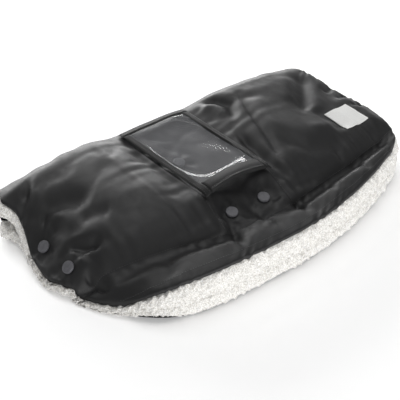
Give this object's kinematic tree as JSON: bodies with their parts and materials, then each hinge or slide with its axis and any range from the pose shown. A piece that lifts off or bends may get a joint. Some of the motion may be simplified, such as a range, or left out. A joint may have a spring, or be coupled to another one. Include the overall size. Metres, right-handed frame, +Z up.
{
  "type": "stroller hand muff",
  "caption": "Padded hand muff folded over a pushchair handlebar, with fleece lining, press studs and a clear phone pocket.",
  "frame": {"origin": "centre of the box on the surface that the muff lies on", "axes": "+X along the handlebar towards the label, +Y towards the fold, +Z up"},
  "size_m": [0.5112, 0.29, 0.0895],
  "materials": {
    "shell": "satin woven",
    "wadding": "matt",
    "fleece": "matt pile",
    "film": "clear gloss film",
    "binding": "matt woven tape",
    "label": "woven",
    "cap": "satin",
    "stud": "brushed"
  },
  "bodies": {
    "lower_half": {"lower_shell": "shell", "lower_wadding": "wadding", "lower_wadding_front": "wadding", "lower_lining": "fleece", "snap_stud_centre_left": "stud", "snap_stud_centre_right": "stud", "snap_stud_end_front": "stud", "snap_stud_end_back": "stud", "snap_stud_bar": "stud", "snap_post_centre_left": "cap", "snap_post_centre_right": "cap", "snap_post_end_front": "cap", "snap_post_end_back": "cap", "snap_post_bar": "cap"},
    "upper_half": {"upper_shell_left": "shell", "upper_shell_centre": "shell", "upper_shell_right": "shell", "upper_shell_front": "shell", "upper_wadding_left": "wadding", "upper_wadding_centre": "wadding", "upper_wadding_right": "wadding", "upper_wadding_front": "wadding", "upper_lining_left": "fleece", "upper_lining_centre": "fleece", "upper_lining_right": "fleece", "pocket_window": "film", "pocket_hem": "binding", "pocket_binding_left": "binding", "pocket_binding_right": "binding", "pocket_binding_back": "binding", "label": "label", "snap_cap_centre_left": "cap", "snap_cap_centre_right": "cap", "snap_cap_end_front": "cap", "snap_cap_end_back": "cap", "snap_cap_bar": "cap", "snap_socket_centre_left": "stud", "snap_socket_centre_right": "stud", "snap_socket_end_front": "stud", "snap_socket_end_back": "stud", "snap_socket_bar": "stud"}
  },
  "joints": [
    {"name": "fold_hinge", "type": "hinge", "parent": "lower_half", "child": "upper_half", "pos_m": [-0.0105, 0.145, 0.042], "axis": [-1, 0, 0], "range_deg": [0, 170]}
  ]
}
